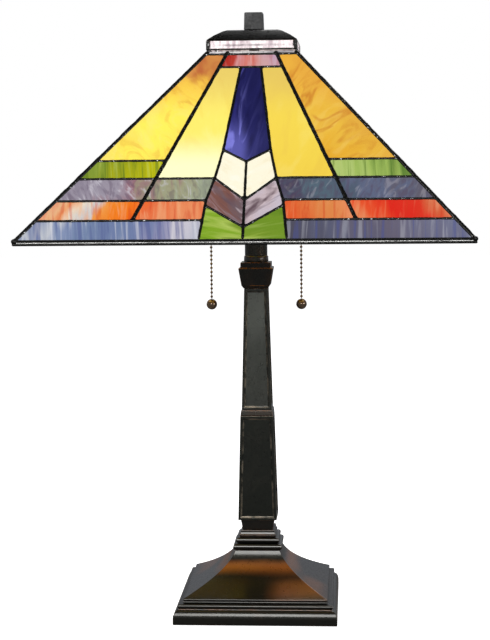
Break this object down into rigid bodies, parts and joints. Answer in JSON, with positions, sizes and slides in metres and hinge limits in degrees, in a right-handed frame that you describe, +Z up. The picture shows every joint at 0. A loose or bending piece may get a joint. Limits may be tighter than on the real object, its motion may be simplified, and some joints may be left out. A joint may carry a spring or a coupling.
{
  "type": "stained glass table lamp",
  "caption": "Table lamp with a four-sided leaded glass shade, pull-chain sockets, a square tapered metal column and a flared stepped base.",
  "frame": {"origin": "centre of the underside, on the surface that the lamp stands on", "axes": "+Z up through the finial; the front face looks to -Y and the pull chains hang to -X and +X"},
  "size_m": [0.4086, 0.4086, 0.5957],
  "materials": {
    "bronze": "dark bronze, semi-gloss, rubbed brown on its edges",
    "black_metal": "black satin",
    "lead": "black patina solder with bright worn spots",
    "brass": "plain brass",
    "antique_brass": "dark antique brass, glossy",
    "steel": "zinc plated",
    "iron": "rough casting",
    "finial_metal": "grey satin",
    "stained_glass": "opalescent art glass in amber, cream, cobalt, green, mauve, red and pink",
    "crystal": "clear ribbed glass",
    "bulb_glass": "frosted, lit from inside",
    "phenolic": "black moulded",
    "felt": "green felt"
  },
  "bodies": {
    "stand": {"base_casting": "bronze", "lower_moulding": "bronze", "middle_moulding": "bronze", "upper_moulding": "bronze", "column_foot": "bronze", "lower_column": "bronze", "column_belt": "bronze", "upper_column": "bronze", "capital": "bronze", "neck_ring": "bronze", "neck_tube": "bronze", "base_cover": "felt", "base_weight": "iron", "lock_washer": "steel", "riser_rod": "steel", "lock_nut": "brass", "cap_seat": "brass", "cord_bushing": "phenolic", "cluster_body": "black_metal", "socket_shell_left": "brass", "socket_core_left": "phenolic", "socket_shell_right": "brass", "socket_core_right": "phenolic"},
    "shade": {"glass_front": "stained_glass", "rim_front": "lead", "crystal_front": "crystal", "leading_front": "lead", "glass_right": "stained_glass", "rim_right": "lead", "crystal_right": "crystal", "leading_right": "lead", "glass_back": "stained_glass", "rim_back": "lead", "crystal_back": "crystal", "leading_back": "lead", "glass_left": "stained_glass", "rim_left": "lead", "crystal_left": "crystal", "leading_left": "lead", "hip_front_right": "lead", "hip_back_right": "lead", "hip_back_left": "lead", "hip_front_left": "lead", "crown_frame": "lead", "shade_cap": "black_metal"},
    "finial": {"finial": "finial_metal"},
    "bulb_left": {"bulb_glass_left": "bulb_glass", "bulb_base_left": "steel"},
    "switch_left": {"switch_drum_left": "brass"},
    "pull_left": {"pull_link_left": "antique_brass"},
    "coupling_left": {"pull_coupling_left": "antique_brass"},
    "chain_left": {"pull_chain_left": "antique_brass", "pull_ball_left": "antique_brass"},
    "bulb_right": {"bulb_glass_right": "bulb_glass", "bulb_base_right": "steel"},
    "switch_right": {"switch_drum_right": "brass"},
    "pull_right": {"pull_link_right": "antique_brass"},
    "coupling_right": {"pull_coupling_right": "antique_brass"},
    "chain_right": {"pull_chain_right": "antique_brass", "pull_ball_right": "antique_brass"}
  },
  "joints": [
    {"name": "shade_turn", "type": "hinge", "parent": "stand", "child": "shade", "pos_m": [0, 0, 0.5745], "axis": [0, 0, 1], "continuous": true},
    {"name": "finial_turn", "type": "hinge", "parent": "stand", "child": "finial", "pos_m": [0, 0, 0.58], "axis": [0, 0, 1], "continuous": true},
    {"name": "bulb_turn_left", "type": "hinge", "parent": "stand", "child": "bulb_left", "pos_m": [-0.07, 0, 0.4288], "axis": [-1, 0, 0], "continuous": true},
    {"name": "pull_slide_left", "type": "slide", "parent": "stand", "child": "pull_left", "axis": [0, 0, -1], "range_m": [0, 0.008], "stiffness_N_per_m": 600, "springref_m": -0.004},
    {"name": "switch_turn_left", "type": "hinge", "parent": "stand", "child": "switch_left", "pos_m": [-0.0514, 0, 0.4288], "axis": [0, 1, 0], "range_deg": [0, 72]},
    {"name": "coupling_swing_left", "type": "hinge", "parent": "pull_left", "child": "coupling_left", "pos_m": [-0.045, 0, 0.39995], "axis": [1, 0, 0], "range_deg": [-30, 30]},
    {"name": "chain_swing_left", "type": "hinge", "parent": "coupling_left", "child": "chain_left", "pos_m": [-0.045, 0, 0.39185], "axis": [0, 1, 0], "range_deg": [-15, 35]},
    {"name": "bulb_turn_right", "type": "hinge", "parent": "stand", "child": "bulb_right", "pos_m": [0.07, 0, 0.4288], "axis": [1, 0, 0], "continuous": true},
    {"name": "pull_slide_right", "type": "slide", "parent": "stand", "child": "pull_right", "axis": [0, 0, -1], "range_m": [0, 0.008], "stiffness_N_per_m": 600, "springref_m": -0.004},
    {"name": "switch_turn_right", "type": "hinge", "parent": "stand", "child": "switch_right", "pos_m": [0.0514, 0, 0.4288], "axis": [0, -1, 0], "range_deg": [0, 72]},
    {"name": "coupling_swing_right", "type": "hinge", "parent": "pull_right", "child": "coupling_right", "pos_m": [0.045, 0, 0.39995], "axis": [1, 0, 0], "range_deg": [-30, 30]},
    {"name": "chain_swing_right", "type": "hinge", "parent": "coupling_right", "child": "chain_right", "pos_m": [0.045, 0, 0.39185], "axis": [0, -1, 0], "range_deg": [-15, 35]}
  ],
  "couplings": [
    {"joint": "switch_turn_left", "follows": "pull_slide_left", "rad_per_m": 156.25},
    {"joint": "switch_turn_right", "follows": "pull_slide_right", "rad_per_m": 156.25}
  ]
}
